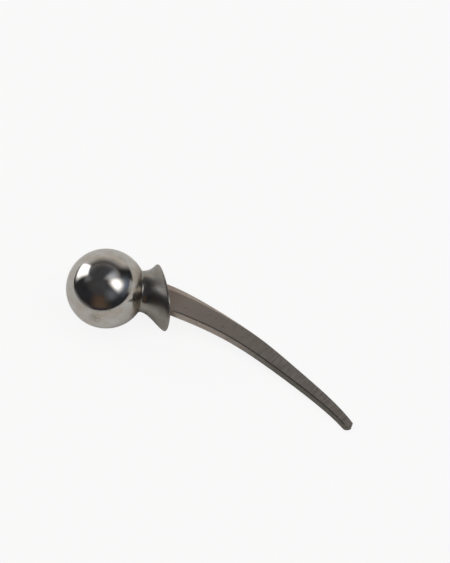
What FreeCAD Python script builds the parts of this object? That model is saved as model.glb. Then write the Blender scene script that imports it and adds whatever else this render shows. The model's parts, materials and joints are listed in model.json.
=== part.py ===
# Collared hip implant stem, cast in one piece, lying as it comes to rest.
#
# Construction frame: origin at the middle of the ball head, +X along the axis of the neck towards the
# collar, +Y lateral, +Z anterior. The implant is symmetric about the frontal plane, Z = 0, so it fits a
# left and a right hip. Headings are angles in that plane, from +X towards +Y, in degrees.
#
# Resting frame: +Z up from the table, +X along the implant from the head to the tip, origin under the
# middle of the bounding box.
import FreeCAD
import Part
import Sketcher
import math
import os

# Driving dimensions, in millimetres and degrees: alias, value, what it measures.
SIZES = [
    ("head_diameter", 44.5, "ball head, one and three quarter inches"),
    ("root_diameter", 25.0, "neck where it comes out of the ball"),
    ("root_depth", 7.75, "pole of the ball, inwards to the hidden start of the neck"),
    ("root_medial_shift", 2.0, "start of the neck, towards the medial side"),
    ("neck_diameter", 23.4, "waist, the thinnest place of the neck"),
    ("neck_reach", 6.1, "hidden start of the neck to the middle of the waist"),
    ("neck_tilt", 4.0, "heading of the normal of the waist plane"),
    ("head_neck_fillet", 1.2, "inside corner between ball and neck"),
    ("collar_reach", 31.6, "middle of the ball to the collar, along the neck"),
    ("collar_lateral_shift", -2.0, "middle of the collar, off the neck axis"),
    ("collar_tilt", 11.0, "heading of the normal of the bone seat"),
    ("collar_length", 39.4, "collar, medial to lateral"),
    ("collar_breadth", 29.6, "collar, front to back"),
    ("collar_medial_length", 12.3, "medial end of the collar to its widest place"),
    ("collar_fullness", 1.05, "how far the oval of the collar fills its corners, 1 for none"),
    ("flare_share", 0.52, "place of the middle flare section between waist and collar"),
    ("flare_growth", 0.36, "share of the growth from waist to collar reached there"),
    ("flare_lateral_growth", 0.5, "the same share on the lateral side, where the flare is straighter"),
    ("rim_thickness", 1.0, "thin outer band of the collar"),
    ("rim_fillet", 0.4, "rounding of the edge of the band towards the bone"),
    ("rim_chamfer", 0.3, "bevel of its edge towards the ball"),
    ("stem_length", 130.0, "bone seat to tip, along the middle of the stem"),
    ("stem_lateral_shift", -2.5, "middle of the stem on the seat, off the neck axis"),
    ("stem_start_heading", -22.9, "direction of the stem where it leaves the seat"),
    ("bend_radius", 224.0, "upper bow of the stem"),
    ("bend_length", 78.0, "length of the upper bow"),
    ("lower_bend_radius", 574.0, "lower bow of the stem"),
    ("shoulder_station", 12.0, "second stem section, from the seat"),
    ("upper_station", 30.0, "third stem section, from the seat"),
    ("middle_station", 60.0, "fourth stem section, from the seat"),
    ("lower_station", 90.0, "fifth stem section, from the seat"),
    ("tip_station", 11.0, "sixth stem section, back from the tip"),
    ("seat_width", 17.0, "stem width inside the collar"),
    ("shoulder_width", 16.4, "stem width at the second section"),
    ("upper_width", 13.5, "stem width at the third section"),
    ("middle_width", 10.5, "stem width at the fourth section"),
    ("lower_width", 7.9, "stem width at the fifth section"),
    ("tip_width", 5.8, "stem width at the sixth section"),
    ("end_width", 5.1, "stem width across the end face"),
    ("end_medial_shift", 1.2, "middle of the end face, off the middle line of the stem"),
    ("end_bevel", 22.0, "slant of the end face towards the medial side"),
    ("end_lateral_fillet", 1.6, "lateral corner of the tip"),
    ("end_medial_fillet", 3.2, "medial corner of the tip"),
    ("stem_thickness", 5.4, "stem, front to back, at the seat"),
    ("tip_thickness", 4.4, "stem, front to back, at the tip"),
    ("edge_break", 0.5, "small bevel along the edges of the stem"),
    ("bevel_width", 4.6, "shallow lateral bevel at the seat, across the face"),
    ("bevel_depth", 1.5, "the same bevel, into the thickness"),
    ("shoulder_fade", 0.3, "share of the bevel that is gone at the second section"),
    ("upper_fade", 0.65, "share of the bevel that is gone at the third section"),
    ("stem_root", 5.0, "start of the stem inside the collar"),
]

TOUCHING = 0.01  # millimetres within which a corner counts as lying on a surface
UPRIGHT = 0.99  # least share of an edge's length along Z for it to count as upright

doc = FreeCAD.newDocument("HipStem")


def make_sheet():
    """The spreadsheet with one named cell for each driving dimension."""
    sheet = doc.addObject("Spreadsheet::Sheet", "Sizes")
    for row, (alias, value, meaning) in enumerate(SIZES, start=1):
        sheet.set(f"A{row}", alias)
        sheet.set(f"B{row}", str(value))
        sheet.set(f"C{row}", meaning)
        sheet.setAlias(f"B{row}", alias)
    return sheet


def cell(alias):
    """How an expression names a cell of the sheet."""
    return f"<<Sizes>>.{alias}"


def origin_plane(body, role):
    """One of the three planes through the body's own origin."""
    return next(plane for plane in body.Origin.OriginFeatures if plane.Role == role)


def sketch_on(body, name, role):
    """An empty sketch on an origin plane of the body."""
    sketch = body.newObject("Sketcher::SketchObject", name)
    sketch.AttachmentSupport = [(origin_plane(body, role), "")]
    sketch.MapMode = "FlatFace"
    return sketch


def sketch_across(body, name, along, lateral, heading):
    """A sketch whose normal lies in the frontal plane, at a place and heading given by expressions."""
    sketch = sketch_on(body, name, "YZ_Plane")
    upright = FreeCAD.Vector(0, 1, 0)
    sketch.AttachmentOffset = FreeCAD.Placement(FreeCAD.Vector(), FreeCAD.Rotation(upright, 1))
    sketch.setExpression("AttachmentOffset.Base.x", lateral)
    sketch.setExpression("AttachmentOffset.Base.z", along)
    sketch.setExpression("AttachmentOffset.Rotation.Angle", f"({heading}) * 1 deg")
    return sketch


def bind(sketch, name, constraint, expression):
    """Add a dimension to a sketch and tie it to the sheet."""
    index = sketch.addConstraint(constraint)
    sketch.renameConstraint(index, name)
    sketch.setExpression(f"Constraints.{name}", expression)


def add_head(body):
    """The ball: a half circle turned about the neck axis."""
    sketch = sketch_on(body, "HeadProfile", "XY_Plane")
    radius = 22.0
    circle = Part.Circle(FreeCAD.Vector(), FreeCAD.Vector(0, 0, 1), radius)
    arc = sketch.addGeometry(Part.ArcOfCircle(circle, 0, math.pi))
    ends = FreeCAD.Vector(-radius, 0, 0), FreeCAD.Vector(radius, 0, 0)
    chord = sketch.addGeometry(Part.LineSegment(*ends))
    sketch.addConstraint(Sketcher.Constraint("Coincident", arc, 1, chord, 2))
    sketch.addConstraint(Sketcher.Constraint("Coincident", arc, 2, chord, 1))
    sketch.addConstraint(Sketcher.Constraint("Coincident", arc, 3, -1, 1))
    sketch.addConstraint(Sketcher.Constraint("Horizontal", chord))
    bind(sketch, "diameter", Sketcher.Constraint("Diameter", arc, 2 * radius), cell("head_diameter"))
    head = body.newObject("PartDesign::Revolution", "Head")
    head.Profile = sketch
    head.ReferenceAxis = (sketch, ["H_Axis"])
    head.Angle = 360
    return head


# A closed cubic spline with evenly spread control points runs a little inside them, so the control
# points of an oval stand further out than its outline by this factor.
START_RADIUS = 15.0  # each oval starts as a circle of this radius, and its dimensions then shape it
CONTROL_POINTS = 8
CONTROL_STEP = 360 / CONTROL_POINTS
CONTROL_FACTOR = 6 / (4 + 2 * math.cos(math.radians(CONTROL_STEP)))


def oval_sketch(body, name, place, medial, lateral, half_breadth, fullness="1"):
    """A closed smooth oval at place, which is its (along, lateral, heading).

    It reaches medial and lateral from its widest place, the origin of the sketch. The control points
    between the four ends stand out by the fullness.
    """
    sketch = sketch_across(body, name, *place)
    angles = [k * CONTROL_STEP for k in range(CONTROL_POINTS)]
    turned = [math.radians(angle) for angle in angles]
    start = [FreeCAD.Vector(math.cos(turn), math.sin(turn), 0) * START_RADIUS for turn in turned]
    spline = sketch.addGeometry(Part.BSplineCurve(start, None, None, True, 3, None, False))
    sketch.exposeInternalGeometry(spline)
    for k, angle in enumerate(angles):
        pole = spline + 1 + k
        factor = f"{CONTROL_FACTOR:.4f}"
        if angle % 90:
            factor = f"{factor} * {fullness}"
        if angle in (90, 270):
            sketch.addConstraint(Sketcher.Constraint("PointOnObject", pole, 3, -2))
        else:
            reach = lateral if start[k].x > 0 else medial
            across = Sketcher.Constraint("DistanceX", -1, 1, pole, 3, start[k].x)
            bind(sketch, f"across{k}", across, f"{factor} * ({reach}) * cos({angle:g} deg)")
        if angle in (0, 180):
            sketch.addConstraint(Sketcher.Constraint("PointOnObject", pole, 3, -1))
        else:
            depth = Sketcher.Constraint("DistanceY", -1, 1, pole, 3, start[k].y)
            bind(sketch, f"depth{k}", depth, f"{factor} * ({half_breadth}) * sin({angle:g} deg)")
    return sketch


def on_seat(behind):
    """Expressions for the widest place of the collar, some way behind the bone seat, and its heading."""
    tilt = f"({cell('collar_tilt')} * 1 deg)"
    widest = f"({cell('collar_medial_length')} - {cell('collar_length')} / 2)"
    along = f"{cell('collar_reach')} - ({behind}) * cos{tilt} - {widest} * sin{tilt}"
    lateral = f"{cell('collar_lateral_shift')} - ({behind}) * sin{tilt} + {widest} * cos{tilt}"
    return along, lateral, cell("collar_tilt")


def between(start, end, share):
    """Expression for the value at a share of the way from start to end."""
    return f"(({start}) + (({end}) - ({start})) * {share})"


def add_neck_and_collar(body):
    """Waisted neck that flares out of the ball into a thin oval rim, flat on the side of the bone."""
    root_radius = f"{cell('root_diameter')} / 2"
    neck_radius = f"{cell('neck_diameter')} / 2"
    medial = cell("collar_medial_length")
    lateral = f"{cell('collar_length')} - {medial}"
    half_breadth = f"{cell('collar_breadth')} / 2"
    rim_place = on_seat(cell("rim_thickness"))
    root_along = f"({cell('head_diameter')} / 2 - {cell('root_depth')})"
    waist_place = (f"({root_along} + {cell('neck_reach')})", "0", cell("neck_tilt"))
    share = cell("flare_share")
    growth = cell("flare_growth")
    flare_place = [between(a, b, share) for a, b in zip(waist_place, rim_place)]
    root_place = (root_along, f"-{cell('root_medial_shift')}", "0")
    root = oval_sketch(body, "NeckRoot", root_place, root_radius, root_radius, root_radius)
    waist = oval_sketch(body, "NeckWaist", waist_place, neck_radius, neck_radius, neck_radius)
    flare = oval_sketch(body, "Flare", flare_place, between(neck_radius, medial, growth),
                        between(neck_radius, lateral, cell("flare_lateral_growth")),
                        between(neck_radius, half_breadth, growth))
    rim = oval_sketch(body, "Rim", rim_place, medial, lateral, half_breadth, cell("collar_fullness"))
    neck = body.newObject("PartDesign::AdditiveLoft", "NeckAndFlare")
    neck.Profile = root
    neck.Sections = [waist, flare, rim]
    neck.Ruled = False
    band = body.newObject("PartDesign::Pad", "RimBand")
    band.Profile = rim
    band.setExpression("Length", cell("rim_thickness"))
    return band


def along_stem(station, bow):
    """Expressions for a place on the middle line of the stem, at a distance from the bone seat.

    The line is two arcs that bend medially and share a tangent: bow 1 runs from the seat, bow 2 to the
    tip.
    """
    tilt = f"({cell('collar_tilt')} * 1 deg)"
    shift = cell("stem_lateral_shift")
    seat_along = f"({cell('collar_reach')} - ({shift} - {cell('collar_lateral_shift')}) * tan{tilt})"
    radius = cell("bend_radius")
    turn = f"180 / pi / {radius}"
    first = cell("stem_start_heading")
    start = (seat_along, shift, first)
    length = station
    if bow == 2:
        start = along_stem(cell("bend_length"), 1)
        radius = cell("lower_bend_radius")
        turn = f"180 / pi / {radius}"
        length = f"(({station}) - {cell('bend_length')})"
    heading = f"({start[2]} - {length} * {turn})"
    along = f"({start[0]} + {radius} * (sin({start[2]} * 1 deg) - sin({heading} * 1 deg)))"
    lateral = f"({start[1]} + {radius} * (cos({heading} * 1 deg) - cos({start[2]} * 1 deg)))"
    return along, lateral, heading


def stem_sketch(body, name, place, width, thickness, bevel_width, bevel_depth):
    """One section of the stem: a flat bar with small bevels medially and wider, shallow ones laterally."""
    sketch = sketch_across(body, name, *place)
    half = 6.0
    deep = 2.5
    small = 0.5
    anterior = [(-half, deep - small), (-half + small, deep), (half - 2 * small, deep), (half, deep - small)]
    corners = anterior + [(x, -y) for x, y in reversed(anterior)]
    count = len(corners)
    for k in range(count):
        ends = [FreeCAD.Vector(*corners[j % count], 0) for j in (k, k + 1)]
        sketch.addGeometry(Part.LineSegment(*ends))
    for k in range(count):
        sketch.addConstraint(Sketcher.Constraint("Coincident", k, 2, (k + 1) % count, 1))
    for k in range(count // 2):
        sketch.addConstraint(Sketcher.Constraint("Symmetric", k, 1, count - 1 - k, 1, -1))
    sketch.addConstraint(Sketcher.Constraint("Horizontal", 1))
    # name, direction, first line, second line, starting value, expression; -1 is the sketch's origin
    dimensions = [
        ("medial", "DistanceX", 0, -1, half, f"{width} / 2"),
        ("lateral", "DistanceX", -1, 3, half, f"{width} / 2"),
        ("thickness", "DistanceY", -1, 1, deep, f"{thickness} / 2"),
        ("edge_across", "DistanceX", 0, 1, small, cell("edge_break")),
        ("edge_depth", "DistanceY", 0, 1, small, cell("edge_break")),
        ("bevel_across", "DistanceX", 2, 3, 2 * small, bevel_width),
        ("bevel_depth", "DistanceY", 3, 2, small, bevel_depth),
    ]
    for dimension, direction, first, second, start, expression in dimensions:
        constraint = Sketcher.Constraint(direction, first, 1, second, 1, start)
        bind(sketch, dimension, constraint, expression)
    return sketch


def add_stem(body):
    """Curved, tapering blade from inside the collar to the slanted tip."""
    length = cell("stem_length")
    # name, distance from the seat, bow, width, and the share of the lateral bevel that is gone
    stations = [
        ("Seat", f"(-{cell('stem_root')})", 1, "seat_width", 0),
        ("Shoulder", cell("shoulder_station"), 1, "shoulder_width", cell("shoulder_fade")),
        ("Upper", cell("upper_station"), 1, "upper_width", cell("upper_fade")),
        ("Middle", cell("middle_station"), 1, "middle_width", 1),
        ("Lower", cell("lower_station"), 2, "lower_width", 1),
        ("Tip", f"({length} - {cell('tip_station')})", 2, "tip_width", 1),
        ("End", length, 2, "end_width", 1),
    ]
    sections = []
    for name, station, bow, width, faded in stations:
        along, lateral, heading = along_stem(station, bow)
        if name == "End":
            along = f"{along} + {cell('end_medial_shift')} * sin({heading} * 1 deg)"
            lateral = f"{lateral} - {cell('end_medial_shift')} * cos({heading} * 1 deg)"
            heading = f"{heading} - {cell('end_bevel')}"
        thickness = between(cell("stem_thickness"), cell("tip_thickness"), f"({station} / {length})")
        bevel_width = between(cell("bevel_width"), cell("edge_break"), faded)
        bevel_depth = between(cell("bevel_depth"), cell("edge_break"), faded)
        place = (along, lateral, heading)
        section = stem_sketch(body, f"Stem{name}", place, cell(width), thickness, bevel_width, bevel_depth)
        sections.append(section)
    stem = body.newObject("PartDesign::AdditiveLoft", "Stem")
    stem.Profile = sections[0]
    stem.Sections = sections[1:]
    stem.Ruled = False
    return stem


def trim_edges(body, kind, name, base, size, wanted):
    """A fillet or chamfer along the edges of the base feature that a test picks."""
    edges = [f"Edge{k}" for k, edge in enumerate(base.Shape.Edges, start=1) if wanted(edge)]
    feature = body.newObject(f"PartDesign::{kind}", name)
    feature.Base = (base, edges)
    feature.setExpression("Radius" if kind == "Fillet" else "Size", cell(size))
    doc.recompute()
    return feature


def trim_neck_and_collar(body, sheet, collar):
    """Round the inside corner at the ball and both edges of the rim."""
    ball_radius = float(sheet.head_diameter) / 2

    def leaves_ball(edge):
        on_ball = all(abs(corner.Point.Length - ball_radius) < TOUCHING for corner in edge.Vertexes)
        return on_ball and edge.CenterOfMass.x > ball_radius / 2

    def on_rim(edge):
        return edge.Closed and edge.CenterOfMass.x > ball_radius

    reaches = [edge.CenterOfMass.x for edge in collar.Shape.Edges if on_rim(edge)]
    middle = sum(reaches) / len(reaches)
    neck = trim_edges(body, "Fillet", "NeckFillet", collar, "head_neck_fillet", leaves_ball)
    rim = trim_edges(body, "Fillet", "RimFillet", neck, "rim_fillet",
                     lambda edge: on_rim(edge) and edge.CenterOfMass.x > middle)
    return trim_edges(body, "Chamfer", "RimChamfer", rim, "rim_chamfer",
                      lambda edge: on_rim(edge) and edge.CenterOfMass.x < middle)


def trim_tip(body, stem):
    """Round the two upright corners of the end face."""
    end = max(stem.Shape.Faces, key=lambda face: face.CenterOfMass.x)
    middle = end.CenterOfMass

    def is_corner(edge):
        span = edge.Vertexes[-1].Point - edge.Vertexes[0].Point
        upright = span.Length > 0 and abs(span.z) > UPRIGHT * span.Length
        return upright and (edge.CenterOfMass - middle).Length < end.Length / 2

    lateral = trim_edges(body, "Fillet", "TipLateralFillet", stem, "end_lateral_fillet",
                         lambda edge: is_corner(edge) and edge.CenterOfMass.x > middle.x)
    return trim_edges(body, "Fillet", "TipMedialFillet", lateral, "end_medial_fillet",
                      lambda edge: is_corner(edge) and edge.CenterOfMass.x < middle.x)


HALVINGS = 40  # enough to find a resting angle far finer than the facets it is found on
FACET_ERROR = 0.02  # millimetres


def halve(low, high, is_low):
    """The value between low and high where a test stops being true."""
    for _ in range(HALVINGS):
        middle = (low + high) / 2
        low, high = (middle, high) if is_low(middle) else (low, middle)
    return (low + high) / 2


def resting_axes(shape, ball_radius, collar_reach):
    """Directions of the resting frame, X along and Z up, in the construction frame.

    The implant lies on its ball, on the back of its collar and on the lateral edge of its stem. The stem
    is let down until it touches, and the whole is rolled until the collar touches too.
    """
    points = shape.tessellate(FACET_ERROR)[0]
    tip = max(points, key=lambda point: point.x)
    halfway = (collar_reach + tip.x) / 2
    stem = [point for point in points if point.x > halfway]
    beyond_neck = (ball_radius + collar_reach) / 2
    collar = [point for point in points if beyond_neck < point.x < 2 * collar_reach - beyond_neck]
    steepest_pitch = math.radians(30)
    steepest_roll = math.radians(60)
    length_axis = FreeCAD.Vector(tip.x, tip.y, 0).normalize()
    lateral = FreeCAD.Vector(0, 0, 1).cross(length_axis)

    def clearance(cloud, up):
        return min(p.dot(up) for p in cloud) + ball_radius

    def up_axis(roll, pitch):
        level = FreeCAD.Vector(0, 0, math.cos(roll)) - lateral * math.sin(roll)
        return level * math.cos(pitch) - length_axis * math.sin(pitch)

    def let_down(roll):
        pitch = halve(0, steepest_pitch, lambda angle: clearance(stem, up_axis(roll, angle)) > 0)
        return up_axis(roll, pitch)

    roll = halve(0, steepest_roll, lambda angle: clearance(collar, let_down(angle)) > 0)
    up = let_down(roll)
    along = (length_axis - up * length_axis.dot(up)).normalize()
    return along, up.cross(along), up


def settle(body, sheet):
    """Place the body as it comes to rest, over the middle of its bounding box."""
    axes = resting_axes(body.Shape, float(sheet.head_diameter) / 2, float(sheet.collar_reach))
    turn = FreeCAD.Matrix()
    turn.A11, turn.A12, turn.A13 = axes[0]
    turn.A21, turn.A22, turn.A23 = axes[1]
    turn.A31, turn.A32, turn.A33 = axes[2]
    body.Placement = FreeCAD.Placement(turn)
    doc.recompute()
    box = body.Shape.optimalBoundingBox()
    foot = FreeCAD.Vector(box.Center.x, box.Center.y, box.ZMin)
    body.Placement = FreeCAD.Placement(-foot, FreeCAD.Rotation(turn))
    doc.recompute()


def make_stem_body(sheet):
    """The whole casting."""
    body = doc.addObject("PartDesign::Body", "HipStem")
    body.Label = "hip_stem"
    add_head(body)
    collar = add_neck_and_collar(body)
    doc.recompute()
    trim_neck_and_collar(body, sheet, collar)
    stem = add_stem(body)
    doc.recompute()
    trim_tip(body, stem)
    return body


def check(objects):
    """Stop if a feature failed or a shape is empty or broken."""
    for item in objects:
        if "Invalid" in item.State or "Error" in item.State:
            raise RuntimeError(f"{item.Name} failed")
    for item in objects:
        if item.TypeId == "PartDesign::Body" and (item.Shape.isNull() or not item.Shape.isValid()):
            raise RuntimeError(f"{item.Label} has no valid shape")


sizes = make_sheet()
doc.recompute()
hip_stem = make_stem_body(sizes)
settle(hip_stem, sizes)
check(doc.Objects)
os.makedirs("parts", exist_ok=True)
hip_stem.Shape.exportStep(f"parts/{hip_stem.Label}.step")
box = hip_stem.Shape.optimalBoundingBox()
print(hip_stem.Label, "size", [round(side, 2) for side in (box.XLength, box.YLength, box.ZLength)])
print("volume", round(hip_stem.Shape.Volume), "solids", len(hip_stem.Shape.Solids))
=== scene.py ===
# %% [markdown]
# A collared hip implant stem lies on a white table. It is one casting in a cobalt-chromium alloy, and
# what makes it worth rendering is that one piece of metal carries three finishes: the ball is polished
# to a mirror, the neck and collar are polished to a satin, and the stem is only ground. The shape comes
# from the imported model. This script adds the camera, the room, the table and the finishes.

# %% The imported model
import json
import math
import bpy
from mathutils import Matrix, Vector


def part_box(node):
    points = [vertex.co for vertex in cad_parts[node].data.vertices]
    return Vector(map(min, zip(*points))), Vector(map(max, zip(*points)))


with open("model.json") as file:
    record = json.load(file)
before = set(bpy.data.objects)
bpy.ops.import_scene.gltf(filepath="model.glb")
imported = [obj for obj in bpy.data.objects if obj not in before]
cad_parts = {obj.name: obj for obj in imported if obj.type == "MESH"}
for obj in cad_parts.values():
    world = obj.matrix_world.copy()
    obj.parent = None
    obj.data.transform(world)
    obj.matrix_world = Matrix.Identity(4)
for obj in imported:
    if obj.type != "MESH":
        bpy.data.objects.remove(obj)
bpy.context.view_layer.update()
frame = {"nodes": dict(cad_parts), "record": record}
implant = frame["nodes"]["hip_stem"]
for name in ("Cube", "Light", "Camera"):
    if name in bpy.data.objects:
        bpy.data.objects.remove(bpy.data.objects[name])
print("faces of the packed implant:", len(implant.data.polygons))

# %% [markdown]
# Everything below is placed by a few points of the implant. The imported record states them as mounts: the
# middle of the ball, the flat seat of the collar, and the place and direction in which the stem leaves
# it. Reading them from there keeps the finishes on the right faces when the model changes. The axis of
# the ball's mount points outward, so the neck runs the other way. Two more directions follow: front is
# square to the plane in which the stem is bowed, and medial points to the inside of the bow. The ball
# is the highest part and touches the table, so its radius is half the height of the box.

# %% Points and directions of the implant
MM = 0.001
mounts = {mount["name"]: mount for mount in frame["record"]["mounts"]}
head_centre = Vector(mounts["head_ball"]["pos_m"])
neck_axis = -Vector(mounts["head_ball"]["axis"]).normalized()
seat_normal = Vector(mounts["collar_seat"]["axis"]).normalized()
stem_start = Vector(mounts["stem_in_canal"]["pos_m"])
stem_heading = Vector(mounts["stem_in_canal"]["axis"]).normalized()
front_normal = stem_heading.cross(seat_normal).normalized()
medial = stem_heading.cross(front_normal).normalized()
low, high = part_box("hip_stem")
head_radius = (high.z - low.z) / 2
print("head", [round(c / MM, 2) for c in head_centre], "radius", round(head_radius / MM, 3), "mm")
print("neck towards", [round(c, 3) for c in neck_axis], "medial", [round(c, 3) for c in medial])

# %% [markdown]
# Colours are written as sRGB hex values, as a colour picker shows them, but shaders work in linear light.
# One function converts them. A second one adds a shader node, sets its sockets and links them, so that a
# material reads as a list of what is done to the surface. Sockets that share a name are given by number:
# in a colour mix, 0 is the share, and 6 and 7 are the two colours.

# %% Helpers for colour and nodes
def linear(hex_value, alpha=1.0):
    """An sRGB colour such as "C8C4BE" as linear red, green, blue and alpha."""
    channels = [int(hex_value[k:k + 2], 16) / 255 for k in (0, 2, 4)]
    straight = [c / 12.92 if c <= 0.04045 else ((c + 0.055) / 1.055) ** 2.4 for c in channels]
    return (*straight, alpha)


def add(tree, kind, settings=None, **sockets):
    """A node of this kind; a socket is given a value, or another node's output to link."""
    made = tree.nodes.new(kind)
    for key, value in (settings or {}).items():
        setattr(made, key, value)
    for key, value in sockets.items():
        if key.startswith("in"):
            socket = made.inputs[int(key[2:])]
        else:
            socket = made.inputs[key.replace("_", " ")]
        if isinstance(value, bpy.types.NodeSocket):
            tree.links.new(value, socket)
        else:
            socket.default_value = value
    return made


def new_material(name):
    """An empty material, and its tree."""
    material = bpy.data.materials.new(name)
    material.use_nodes = True
    material.node_tree.nodes.clear()
    return material, material.node_tree


print("the sRGB grey 808080 is", round(linear("808080")[0], 3), "in linear light")

# %% [markdown]
# The camera looks down on the table at about 63 degrees from 90 cm away, through a long lens, with the
# ball to the left and the tip to the lower right. It is described by where it stands, the point it looks
# at and how far it is rolled, which is how a photographer would set it up.

# %% Camera
LENS_MM = 103.47
SENSOR_MM = 36.0
ROLL_DEG = -17.927
camera_place = Vector((0.290095, -0.243958, 0.815335))
looks_at = Vector((-0.010453, 0.032323, 0.0200))

camera_data = bpy.data.cameras.new("camera")
camera_data.lens = LENS_MM
camera_data.sensor_width = SENSOR_MM
camera = bpy.data.objects.new("camera", camera_data)
bpy.context.scene.collection.objects.link(camera)
aim = (looks_at - camera_place).to_track_quat("-Z", "Y").to_matrix()
turned = aim @ Matrix.Rotation(math.radians(ROLL_DEG), 3, "Z")
camera.matrix_world = Matrix.Translation(camera_place) @ turned.to_4x4()
bpy.context.scene.camera = camera
print("camera to head", round((camera_place - head_centre).length / MM, 1), "mm")

# %% [markdown]
# A mirror shows the room and not itself, so the ball looks right only in the right room. Every surface
# of the room is given by compass directions from the ball: degrees to the right of straight away from
# the camera, and degrees above the horizon. One function turns them into a direction in space. Another
# one gives the soft edge that a lamp behind cloth has.

# %% Directions in the room, and soft edges
away = head_centre - camera_place
away.z = 0
away.normalize()
rightward = away.cross(Vector((0, 0, 1)))


def direction(azimuth, elevation):
    """The unit vector towards a compass direction, in degrees."""
    a, e = math.radians(azimuth), math.radians(elevation)
    level = away * math.cos(a) + rightward * math.sin(a)
    return level * math.cos(e) + Vector((0, 0, math.sin(e)))


def fade(share, start, end):
    """1 on the card, falling smoothly to 0 over the soft share of either side."""
    near = 1 if start == 0 else min(1, share / start)
    far = 1 if end == 0 else min(1, (1 - share) / end)
    return near * near * (3 - 2 * near) * far * far * (3 - 2 * far)


print("straight away from the camera is", [round(c, 3) for c in away])

# %% [markdown]
# Each surface of the room is a card: a grid of faces that is curved round the ball and glows. Its
# vertices carry how strongly they glow, from 1 in the middle to 0 at a soft side, and the material turns
# clear where the glow ends. Only the metal sees the cards. The camera doesn't, and they cast no shadow.

# %% A card of light
CARD_STEPS = 24


def card(name, distance, corners, colour, strength, soft):
    """A curved card through four corners: bottom left, bottom right, top right, top left.

    Soft is the share over which it fades at the left, right, bottom and top.
    """
    left, right, bottom, top = soft
    places = []
    glows = []
    for j in range(CARD_STEPS + 1):
        for i in range(CARD_STEPS + 1):
            u, v = i / CARD_STEPS, j / CARD_STEPS
            weights = ((1 - u) * (1 - v), u * (1 - v), u * v, (1 - u) * v)
            azimuth, elevation = (sum(w * c[k] for w, c in zip(weights, corners)) for k in (0, 1))
            places.append(head_centre + direction(azimuth, elevation) * distance)
            glows.append(fade(u, left, right) * fade(v, bottom, top))
    row = CARD_STEPS + 1
    firsts = [j * row + i for j in range(CARD_STEPS) for i in range(CARD_STEPS)]
    mesh = bpy.data.meshes.new(name)
    mesh.from_pydata(places, [], [(k, k + 1, k + row + 1, k + row) for k in firsts])
    mesh.attributes.new("glow", "FLOAT", "POINT").data.foreach_set("value", glows)
    made = bpy.data.objects.new(name, mesh)
    bpy.context.scene.collection.objects.link(made)
    material, tree = new_material(name)
    glow = add(tree, "ShaderNodeAttribute", {"attribute_name": "glow"}).outputs["Fac"]
    light = add(tree, "ShaderNodeEmission", Color=linear(colour), Strength=strength)
    clear = add(tree, "ShaderNodeBsdfTransparent")
    shown = add(tree, "ShaderNodeMixShader", Fac=glow, in1=clear.outputs[0], in2=light.outputs[0])
    add(tree, "ShaderNodeOutputMaterial", Surface=shown.outputs[0])
    mesh.materials.append(material)
    made.visible_camera = False
    made.visible_shadow = False


# %% [markdown]
# The room is what the ball shows. Two soft boxes give the two bright patches. The white sweep is the
# card of the table where it rises behind the implant, and it makes the rim of the ball and the stem pale.
# Hazes and walls in greys and blues give the second patch its soft halo, a brown door gives the warm spot
# at the bottom, and a weak ceiling keeps the middle from going black. The paper curls up a little on the
# left. A card that is soft on all sides is called a cloud here.

# %% The room around the table
CLOUD = (0.45, 0.45, 0.45, 0.45)
CARDS = (
    # name, metres from the ball, corners in degrees,
    # colour, strength, soft shares at the left, right, bottom and top
    ("soft_box_ahead", 1.40, ((-58, 5), (-14, 0), (-6, 36), (-44, 56)),
     "FFFFFF", 3.0, (0.45, 0.2, 0.3, 0.25)),
    ("soft_box_behind", 1.40, ((100, 20), (160, 20), (158, 74), (96, 74)),
     "FFFFFF", 3.2, (0.5, 0.5, 0.5, 0.5)),
    ("white_sweep", 1.50, ((-22, -1), (80, -1), (80, 42), (-22, 42)),
     "FFFBF6", 0.62, (0.05, 0.2, 0, 0.8)),
    ("grey_haze", 1.45, ((58, 32), (140, 32), (140, 89), (58, 89)),
     "E8ECF2", 0.70, CLOUD),
    ("grey_ceiling", 1.55, ((-50, 34), (140, 34), (140, 84), (-50, 84)),
     "F2F2F4", 0.20, (0.15, 0.3, 0.15, 0.2)),
    ("blue_grey_wall", 1.50, ((85, 2), (160, 2), (160, 46), (85, 46)),
     "93A0B4", 0.65, CLOUD),
    ("low_white_wall", 1.46, ((97, -1), (136, -1), (136, 14), (97, 14)),
     "F2F2F2", 0.50, (0.2, 0.3, 0, 0.6)),
    ("brown_door", 1.50, ((-180, 2), (-108, 2), (-108, 62), (-180, 62)),
     "A08672", 0.30, (0.45, 0.45, 0.15, 0.45)),
    ("grey_strip", 1.45, ((-70, 34), (-36, 34), (-36, 66), (-70, 66)),
     "C0C8D4", 0.40, CLOUD),
    ("dim_window", 1.48, ((136, 14), (206, 14), (206, 64), (136, 64)),
     "DCE4F0", 0.20, CLOUD),
    ("pale_ceiling", 1.50, ((-180, 36), (180, 36), (180, 90), (-180, 90)),
     "E2E6F0", 0.09, (0, 0, 0.4, 0)),
    ("curled_paper", 1.46, ((-128, -1), (-58, -1), (-58, 9), (-128, 9)),
     "F2F0EC", 0.35, (0.3, 0.3, 0, 1.0)),
)
for row in CARDS:
    card(*row)
print(len(CARDS), "cards round the ball")

# %% [markdown]
# A wide, weak panel hangs flat above the table and brightens the card it is laid with. It is kept out of
# glossy reflections, because a third bright patch in the middle of the ball would hide its dark room.

# %% Fill panel for the table
FILL_WIDTH = 2.0
FILL_HEIGHT = 2.0
FILL_WATTS = 20.0
fill_data = bpy.data.lights.new("fill_panel", "AREA")
fill_data.size = FILL_WIDTH
fill_data.energy = FILL_WATTS
fill_panel = bpy.data.objects.new("fill_panel", fill_data)
fill_panel.location = (0, 0, FILL_HEIGHT)
fill_panel.visible_glossy = False
bpy.context.scene.collection.objects.link(fill_panel)
print("fill panel", FILL_WATTS, "W at", FILL_HEIGHT, "m")

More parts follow.
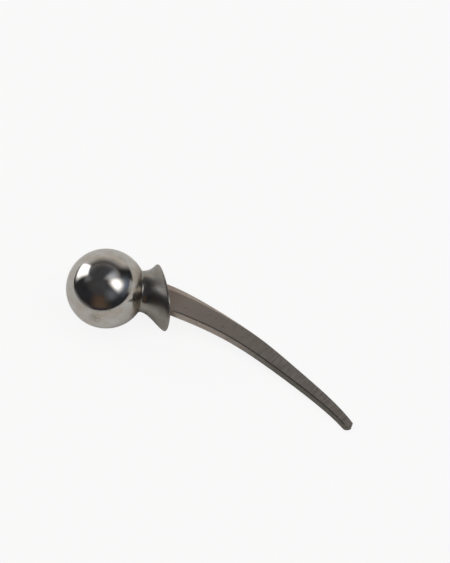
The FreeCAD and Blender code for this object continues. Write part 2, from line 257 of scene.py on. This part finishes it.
# %% [markdown]
# The table is matt white card. The camera mostly sees it as plain white, which is how a product page
# shows it, and a small part of its true shading is kept so that the shadow under the implant stays. The
# metal sees the card as it is lit.

# %% White table
WHITE = "FFFFFF"
TABLE_COLOUR = "F0EEEA"
TABLE_HALF_WIDTH = 3.0
TABLE_SHADING_KEPT = 0.12
table_corners = [(x * TABLE_HALF_WIDTH, y * TABLE_HALF_WIDTH, 0)
                 for x, y in ((-1, -1), (1, -1), (1, 1), (-1, 1))]
table_mesh = bpy.data.meshes.new("table_top")
table_mesh.from_pydata(table_corners, [], [(0, 1, 2, 3)])
table_top = bpy.data.objects.new("table_top", table_mesh)
bpy.context.scene.collection.objects.link(table_top)

paper, tree = new_material("matt_white_card")
seen = add(tree, "ShaderNodeLightPath").outputs["Is Camera Ray"]
share = add(tree, "ShaderNodeMath", {"operation": "MULTIPLY"}, in0=seen, in1=1 - TABLE_SHADING_KEPT)
matt = add(tree, "ShaderNodeBsdfDiffuse", Color=linear(TABLE_COLOUR))
plain = add(tree, "ShaderNodeEmission", Color=linear(WHITE), Strength=1.0)
mixed = add(tree, "ShaderNodeMixShader", Fac=share.outputs[0], in1=matt.outputs[0], in2=plain.outputs[0])
add(tree, "ShaderNodeOutputMaterial", Surface=mixed.outputs[0])
table_mesh.materials.append(paper)
print("table", 2 * TABLE_HALF_WIDTH, "m wide, shading kept", TABLE_SHADING_KEPT)

# %% [markdown]
# The world is what lies between and behind the cards. It follows the same idea as the table: white where
# the camera looks past the table, and a dim, cool grey where the metal looks.

# %% Dim surroundings
WORLD_COLOUR = "DCE2EE"
WORLD_STRENGTH = 0.04
world = bpy.data.worlds.new("dim_room")
world.use_nodes = True
tree = world.node_tree
tree.nodes.clear()
seen = add(tree, "ShaderNodeLightPath").outputs["Is Camera Ray"]
room = add(tree, "ShaderNodeBackground", Color=linear(WORLD_COLOUR), Strength=WORLD_STRENGTH)
plain = add(tree, "ShaderNodeBackground", Color=linear(WHITE), Strength=1.0)
mixed = add(tree, "ShaderNodeMixShader", Fac=seen, in1=room.outputs[0], in2=plain.outputs[0])
add(tree, "ShaderNodeOutputWorld", Surface=mixed.outputs[0])
bpy.context.scene.world = world
print("world strength", WORLD_STRENGTH)

# %% [markdown]
# All three finishes are the same alloy of cobalt, chromium and molybdenum. Its metal is a light grey with
# a touch of warmth, so the base colour of each finish stays close to that, and what differs is how rough
# the last tool left the surface. Patterns are drawn from distances in the implant's own directions:
# along the neck, and along the bow of the stem, which is unrolled about the middle of its curve. Streaks
# are noise that is squeezed one way and drawn out the other.

# %% Distances measured on the implant
STEM_BOW_RADIUS = 295 * MM
bow_centre = stem_start + medial * STEM_BOW_RADIUS


def distance_along(tree, point, heading):
    """Metres from a point in a direction."""
    place = add(tree, "ShaderNodeTexCoord").outputs["Object"]
    offset = add(tree, "ShaderNodeVectorMath", {"operation": "SUBTRACT"}, in0=place, in1=tuple(point))
    along = add(tree, "ShaderNodeVectorMath", {"operation": "DOT_PRODUCT"},
                in0=offset.outputs["Vector"], in1=tuple(heading))
    return along.outputs["Value"]


def unrolled_stem(tree):
    """Metres along the bow of the stem, across it, and through its thickness."""
    onward = distance_along(tree, bow_centre, stem_heading)
    outward = distance_along(tree, bow_centre, -medial)
    through = distance_along(tree, bow_centre, front_normal)
    angle = add(tree, "ShaderNodeMath", {"operation": "ARCTAN2"}, in0=onward, in1=outward)
    along = add(tree, "ShaderNodeMath", {"operation": "MULTIPLY"},
                in0=angle.outputs[0], in1=STEM_BOW_RADIUS)
    joined = add(tree, "ShaderNodeCombineXYZ", X=onward, Y=outward)
    radius = add(tree, "ShaderNodeVectorMath", {"operation": "LENGTH"}, in0=joined.outputs[0])
    across = add(tree, "ShaderNodeMath", {"operation": "SUBTRACT"},
                 in0=radius.outputs["Value"], in1=STEM_BOW_RADIUS)
    return along.outputs[0], across.outputs[0], through


def streaks(tree, along, across, through, pitch, length, detail):
    """Noise drawn out into streaks: pitch apart along, and length long across and through."""
    place = add(tree, "ShaderNodeCombineXYZ", X=along, Y=across, Z=through)
    steps = add(tree, "ShaderNodeVectorMath", {"operation": "DIVIDE"},
                in0=place.outputs[0], in1=(pitch, length, length))
    noise = add(tree, "ShaderNodeTexNoise", Vector=steps.outputs["Vector"], Scale=1.0, Detail=detail)
    return noise.outputs["Fac"]


print("the stem is bowed about", [round(c / MM, 1) for c in bow_centre], "mm")

# %% [markdown]
# The ball is lapped and buffed until it mirrors. What is left are hair-fine wipe marks, which blur the
# reflection a little in patches, and a faint smudge low on its left side. The scratches run every way,
# because the ball is turned against the buff. The buff can't reach the part nearest the neck as well, so
# the polish turns to satin there, and that part is tinted brown as a painted reflection of the neck.

# %% Mirror-polished ball
HAZE_SIZE = 7 * MM
WIPE_SIZE = 0.8 * MM
BUFFED_ROUGHNESS = (0.07, 0.13)
WIPE_ROUGHNESS = 0.06
UNREACHED_ROUGHNESS = 0.22
BUFFED_UP_TO = 13.5 * MM
BUFF_LOST_OVER = 3 * MM
# Painted reflection: the ball is tinted brown towards the neck, where it mirrors the neck.
NECK_REFLECTION_FULL_AT = 17.5 * MM
PAINTED_NECK_REFLECTION_COLOUR = "A3988B"
SMUDGE_SIZE = 4.5 * MM
SMUDGE_COLOUR = "5E554C"
smudge_place = head_centre + Vector((0.33, -0.90, 0.28)).normalized() * head_radius


def mirror_polished():
    """A mirror with patches of haze, a smudge, and satin and a painted brown reflection towards the neck.
    """
    material, tree = new_material("mirror_polished_cobalt_chromium")
    place = add(tree, "ShaderNodeTexCoord").outputs["Object"]
    haze = add(tree, "ShaderNodeTexNoise", Vector=place, Scale=1 / HAZE_SIZE, Detail=3.0).outputs["Fac"]
    wipes = add(tree, "ShaderNodeTexNoise", Vector=place, Scale=1 / WIPE_SIZE, Detail=4.0).outputs["Fac"]
    towards_neck = distance_along(tree, head_centre, neck_axis)
    # Roughness: cloudy patches, wipe marks, and the part that the buff didn't reach.
    cloudy = add(tree, "ShaderNodeMapRange", Value=haze, From_Min=0.4, From_Max=0.7,
                 To_Min=BUFFED_ROUGHNESS[0], To_Max=BUFFED_ROUGHNESS[1])
    fine = add(tree, "ShaderNodeMapRange", Value=wipes, From_Min=0.5, From_Max=0.75,
               To_Min=0.0, To_Max=WIPE_ROUGHNESS)
    polish = add(tree, "ShaderNodeMath", {"operation": "ADD"}, in0=cloudy.outputs[0], in1=fine.outputs[0])
    unreached = add(tree, "ShaderNodeMapRange", Value=towards_neck,
                    From_Min=BUFFED_UP_TO, From_Max=BUFFED_UP_TO + BUFF_LOST_OVER,
                    To_Min=0.0, To_Max=UNREACHED_ROUGHNESS)
    roughness = add(tree, "ShaderNodeMath", {"operation": "ADD"},
                    in0=polish.outputs[0], in1=unreached.outputs[0])
    # Colour: the metal in two close tones, then the painted brown reflection of the neck, then the smudge.
    patches = add(tree, "ShaderNodeMapRange", Value=haze, From_Min=0.35, From_Max=0.65)
    metal_tone = add(tree, "ShaderNodeMix", {"data_type": "RGBA"},
                     in0=patches.outputs[0], in6=linear("D1CFCC"), in7=linear("C1B9AF"))
    painted_reflection = add(tree, "ShaderNodeMapRange", Value=towards_neck,
               From_Min=BUFFED_UP_TO, From_Max=NECK_REFLECTION_FULL_AT)
    reflection_tinted = add(tree, "ShaderNodeMix", {"data_type": "RGBA"},
                 in0=painted_reflection.outputs[0], in6=metal_tone.outputs[2], in7=linear(PAINTED_NECK_REFLECTION_COLOUR))
    offset = add(tree, "ShaderNodeVectorMath", {"operation": "DISTANCE"},
                 in0=place, in1=tuple(smudge_place))
    near = add(tree, "ShaderNodeMapRange", Value=offset.outputs["Value"],
               From_Min=0.0, From_Max=SMUDGE_SIZE, To_Min=1.0, To_Max=0.0)
    spots = add(tree, "ShaderNodeMapRange", Value=wipes, From_Min=0.42, From_Max=0.62, To_Max=0.9)
    smudge = add(tree, "ShaderNodeMath", {"operation": "MULTIPLY"},
                 in0=near.outputs[0], in1=spots.outputs[0])
    tone = add(tree, "ShaderNodeMix", {"data_type": "RGBA"},
               in0=smudge.outputs[0], in6=reflection_tinted.outputs[2], in7=linear(SMUDGE_COLOUR))
    # The wipe marks also have a trace of depth.
    bump = add(tree, "ShaderNodeBump", Height=wipes, Strength=0.04, Distance=0.05 * MM)
    metal = add(tree, "ShaderNodeBsdfPrincipled", Base_Color=tone.outputs[2], Metallic=1.0,
                Roughness=roughness.outputs[0], Normal=bump.outputs[0])
    add(tree, "ShaderNodeOutputMaterial", Surface=metal.outputs[0])
    return material


finishes = [mirror_polished()]
print("made", finishes[-1].name)

# %% [markdown]
# The neck and collar are polished by hand with a fine belt that runs round the neck. The marks are rings
# about the neck axis, a few hundredths of a millimetre apart. That is far finer than a pixel, so most of
# them is given as roughness, and rings about ten times as coarse are drawn faintly. The waist itself,
# where the belt hangs longest, has come out shinier than the flare. The painted brown reflection ends
# here.

# %% Satin-polished neck and collar
SATIN_CLOUD_SIZE = 6 * MM
RING_PITCH = 0.35 * MM
SATIN_ROUGHNESS = (0.30, 0.36)
RING_ROUGHNESS = 0.05
WAIST_AT = 22 * MM
WAIST_SHINE_LOST_OVER = 4 * MM
WAIST_ROUGHNESS_SHARE = 0.6
# Painted reflection: the brown tint next to the ball fades out along the neck.
NECK_REFLECTION_ENDS_AT = 16.5 * MM
NECK_REFLECTION_FADES_OVER = 3 * MM


def satin_polished():
    """A satin with faint rings round the neck, shinier at the waist, with a painted brown reflection next
    to the ball.
    """
    material, tree = new_material("satin_polished_cobalt_chromium")
    place = add(tree, "ShaderNodeTexCoord").outputs["Object"]
    along = distance_along(tree, head_centre, neck_axis)
    cloud = add(tree, "ShaderNodeTexNoise", Vector=place, Scale=1 / SATIN_CLOUD_SIZE, Detail=3.0)
    cloud = cloud.outputs["Fac"]
    # The rings take the cloud as their second coordinate, which breaks them up from patch to patch.
    rings = streaks(tree, along, cloud, 0.0, RING_PITCH, 1.0, 2.0)
    # Roughness: broad patches and rings, and less of both at the waist.
    broad = add(tree, "ShaderNodeMapRange", Value=cloud, From_Min=0.3, From_Max=0.7,
                To_Min=SATIN_ROUGHNESS[0], To_Max=SATIN_ROUGHNESS[1])
    fine = add(tree, "ShaderNodeMapRange", Value=rings, From_Min=0.4, From_Max=0.7,
               To_Min=0.0, To_Max=RING_ROUGHNESS)
    matt = add(tree, "ShaderNodeMath", {"operation": "ADD"}, in0=broad.outputs[0], in1=fine.outputs[0])
    beyond_waist = add(tree, "ShaderNodeMapRange", Value=along,
                       From_Min=WAIST_AT, From_Max=WAIST_AT + WAIST_SHINE_LOST_OVER,
                       To_Min=WAIST_ROUGHNESS_SHARE, To_Max=1.0)
    roughness = add(tree, "ShaderNodeMath", {"operation": "MULTIPLY"},
                    in0=matt.outputs[0], in1=beyond_waist.outputs[0])
    # Colour: the metal in two close tones, then the painted brown reflection.
    patches = add(tree, "ShaderNodeMapRange", Value=cloud, From_Min=0.3, From_Max=0.7)
    clean = add(tree, "ShaderNodeMix", {"data_type": "RGBA"},
                in0=patches.outputs[0], in6=linear("ABA8A4"), in7=linear("99938A"))
    painted_reflection = add(tree, "ShaderNodeMapRange", Value=along,
               From_Min=NECK_REFLECTION_ENDS_AT, From_Max=NECK_REFLECTION_ENDS_AT + NECK_REFLECTION_FADES_OVER, To_Min=1.0, To_Max=0.0)
    tone = add(tree, "ShaderNodeMix", {"data_type": "RGBA"},
               in0=painted_reflection.outputs[0], in6=clean.outputs[2], in7=linear(PAINTED_NECK_REFLECTION_COLOUR))
    bump = add(tree, "ShaderNodeBump", Height=rings, Strength=0.05, Distance=0.05 * MM)
    metal = add(tree, "ShaderNodeBsdfPrincipled", Base_Color=tone.outputs[2], Metallic=1.0,
                Roughness=roughness.outputs[0], Normal=bump.outputs[0])
    add(tree, "ShaderNodeOutputMaterial", Surface=metal.outputs[0])
    return material


finishes.append(satin_polished())
print("made", finishes[-1].name)

# %% [markdown]
# The stem is a flat blade, and its broad faces and narrow sides don't look the same. A material can tell
# them apart by the direction in which the surface faces. The front and the back of the blade count alike,
# so the sign of that direction is dropped.

# %% Broad faces and narrow sides
def squarely_facing(tree, heading):
    """How squarely the surface faces a direction or its opposite, from 0 to 1."""
    surface = add(tree, "ShaderNodeNewGeometry").outputs["Normal"]
    share = add(tree, "ShaderNodeVectorMath", {"operation": "DOT_PRODUCT"},
                in0=surface, in1=tuple(heading))
    either = add(tree, "ShaderNodeMath", {"operation": "ABSOLUTE"}, in0=share.outputs["Value"])
    return either.outputs[0]


print("the front of the blade faces", [round(c, 3) for c in front_normal])

# %% [markdown]
# The stem goes into bone cement, which grips a dull surface better, so it is ground across with a belt
# and left. The scratches are about a tenth of a millimetre apart. That is finer than a pixel here, so
# they are drawn five times as coarse. Near the collar they have been smoothed, which makes the metal
# look lighter, and they show more clearly towards the tip. The narrow sides of the lower half are painted
# darker than the broad faces, as painted shade. Use has left a few brown spots, and a thin brown film
# next to the collar.

# %% Ground stem
STEM_CLOUD_SIZE = 7 * MM
SCRATCH_PITCH = 0.5 * MM
SCRATCH_LENGTH = 7 * MM
FAINT_SCRATCHES = 0.3
FAINT_UP_TO = 35 * MM
CLEAR_FROM = 70 * MM
SMOOTHED_SHARE = 0.9
GROUND_ROUGHNESS = (0.33, 0.41)
SCRATCH_ROUGHNESS = 0.06
SPOT_SIZE = 2.5 * MM
SPOT_SHARE = 0.6
COLLAR_FILM_SHARE = 0.45
COLLAR_FILM_FULL_TO = 3 * MM
COLLAR_FILM_ENDS_AT = 14 * MM
# The narrow sides of the lower half are darkened with painted shade.
SHADED_SIDES_FROM = 40 * MM
SHADED_SIDES_FULL_AT = 80 * MM


def ground_stem():
    """A ground surface with scratches across the stem, brown spots and film, and painted shade on the
    narrow sides.
    """
    material, tree = new_material("ground_cobalt_chromium")
    place = add(tree, "ShaderNodeTexCoord").outputs["Object"]
    along, across, through = unrolled_stem(tree)
    scratches = streaks(tree, along, across, through, SCRATCH_PITCH, SCRATCH_LENGTH, 3.0)
    cloud = add(tree, "ShaderNodeTexNoise", Vector=place, Scale=1 / STEM_CLOUD_SIZE, Detail=4.0)
    cloud = cloud.outputs["Fac"]
    grain = add(tree, "ShaderNodeTexNoise", Vector=place, Scale=1 / SPOT_SIZE, Detail=2.0).outputs["Fac"]
    # Colour: the metal in two close tones, lighter near the collar, with bright scratches.
    patches = add(tree, "ShaderNodeMapRange", Value=cloud, From_Min=0.3, From_Max=0.7)
    uneven = add(tree, "ShaderNodeMix", {"data_type": "RGBA"},
                 in0=patches.outputs[0], in6=linear("ABA29B"), in7=linear("99918A"))
    smoothed = add(tree, "ShaderNodeMapRange", Value=along,
                   From_Min=0.0, From_Max=CLEAR_FROM, To_Min=SMOOTHED_SHARE, To_Max=0.0)
    base = add(tree, "ShaderNodeMix", {"data_type": "RGBA"},
               in0=smoothed.outputs[0], in6=uneven.outputs[2], in7=linear("CABDB2"))
    deeper = add(tree, "ShaderNodeMapRange", Value=along,
                 From_Min=FAINT_UP_TO, From_Max=CLEAR_FROM, To_Min=FAINT_SCRATCHES, To_Max=1.0)
    worn = add(tree, "ShaderNodeMapRange", Value=scratches,
               From_Min=0.4, From_Max=0.7, To_Max=deeper.outputs[0])
    scratched = add(tree, "ShaderNodeMix", {"data_type": "RGBA"},
                    in0=worn.outputs[0], in6=base.outputs[2], in7=linear("C2BBB3"))
    # Brown spots, and the film next to the collar.
    spots = add(tree, "ShaderNodeMapRange", Value=grain, From_Min=0.66, From_Max=0.74, To_Max=SPOT_SHARE)
    collar_film = add(tree, "ShaderNodeMapRange", Value=along,
                      From_Min=COLLAR_FILM_FULL_TO, From_Max=COLLAR_FILM_ENDS_AT,
                      To_Min=COLLAR_FILM_SHARE, To_Max=0.0)
    brown = add(tree, "ShaderNodeMath", {"operation": "MAXIMUM"},
                in0=spots.outputs[0], in1=collar_film.outputs[0])
    stained = add(tree, "ShaderNodeMix", {"data_type": "RGBA"},
                  in0=brown.outputs[0], in6=scratched.outputs[2], in7=linear("94786A"))
    # Painted shade on the narrow sides: faces that don't lie squarely to the front or back, on the lower
    # half.
    squarely = squarely_facing(tree, front_normal)
    side = add(tree, "ShaderNodeMapRange", Value=squarely, From_Min=0.85, From_Max=0.55)
    distal = add(tree, "ShaderNodeMapRange", Value=along,
                 From_Min=SHADED_SIDES_FROM, From_Max=SHADED_SIDES_FULL_AT)
    painted_side_shade = add(tree, "ShaderNodeMath", {"operation": "MULTIPLY"},
               in0=side.outputs[0], in1=distal.outputs[0])
    tone = add(tree, "ShaderNodeMix", {"data_type": "RGBA"},
               in0=painted_side_shade.outputs[0], in6=stained.outputs[2], in7=linear("75716A"))
    # Roughness: broad patches and scratches.
    broad = add(tree, "ShaderNodeMapRange", Value=cloud, From_Min=0.3, From_Max=0.7,
                To_Min=GROUND_ROUGHNESS[0], To_Max=GROUND_ROUGHNESS[1])
    fine = add(tree, "ShaderNodeMapRange", Value=scratches, From_Min=0.3, From_Max=0.7,
               To_Max=SCRATCH_ROUGHNESS)
    roughness = add(tree, "ShaderNodeMath", {"operation": "ADD"},
                    in0=broad.outputs[0], in1=fine.outputs[0])
    bump = add(tree, "ShaderNodeBump", Height=scratches, Strength=0.08, Distance=0.1 * MM)
    metal = add(tree, "ShaderNodeBsdfPrincipled", Base_Color=tone.outputs[2], Metallic=1.0,
                Roughness=roughness.outputs[0], Normal=bump.outputs[0])
    add(tree, "ShaderNodeOutputMaterial", Surface=metal.outputs[0])
    return material


finishes.append(ground_stem())
print("made", finishes[-1].name)

# %% [markdown]
# Each face of the casting gets the finish of the region it lies in. A face of the ball has all its
# corners at the ball's radius from its middle, and a face of the stem lies beyond the plane of the seat.
# What is left is the neck with its collar. The faces keep their places, and only their finish is set.

# %% Finishes on the faces
BALL, NECK, STEM = range(3)
BALL_TOLERANCE = 0.02 * MM
SEAT_CLEARANCE = 0.05 * MM
mesh = implant.data
mesh.materials.clear()
for finish in finishes:
    mesh.materials.append(finish)
counts = [0, 0, 0]
for face in mesh.polygons:
    corners = [mesh.vertices[k].co for k in face.vertices]
    beyond_seat = (face.center - stem_start).dot(seat_normal)
    if all(abs((corner - head_centre).length - head_radius) < BALL_TOLERANCE for corner in corners):
        face.material_index = BALL
    elif beyond_seat > SEAT_CLEARANCE:
        face.material_index = STEM
    else:
        face.material_index = NECK
    counts[face.material_index] += 1
print("faces of ball, neck with collar, and stem:", counts)

# %% [markdown]
# The picture is shown as it is rendered, with no film look on top.

# %% How the picture is shown
bpy.context.scene.view_settings.view_transform = "Standard"
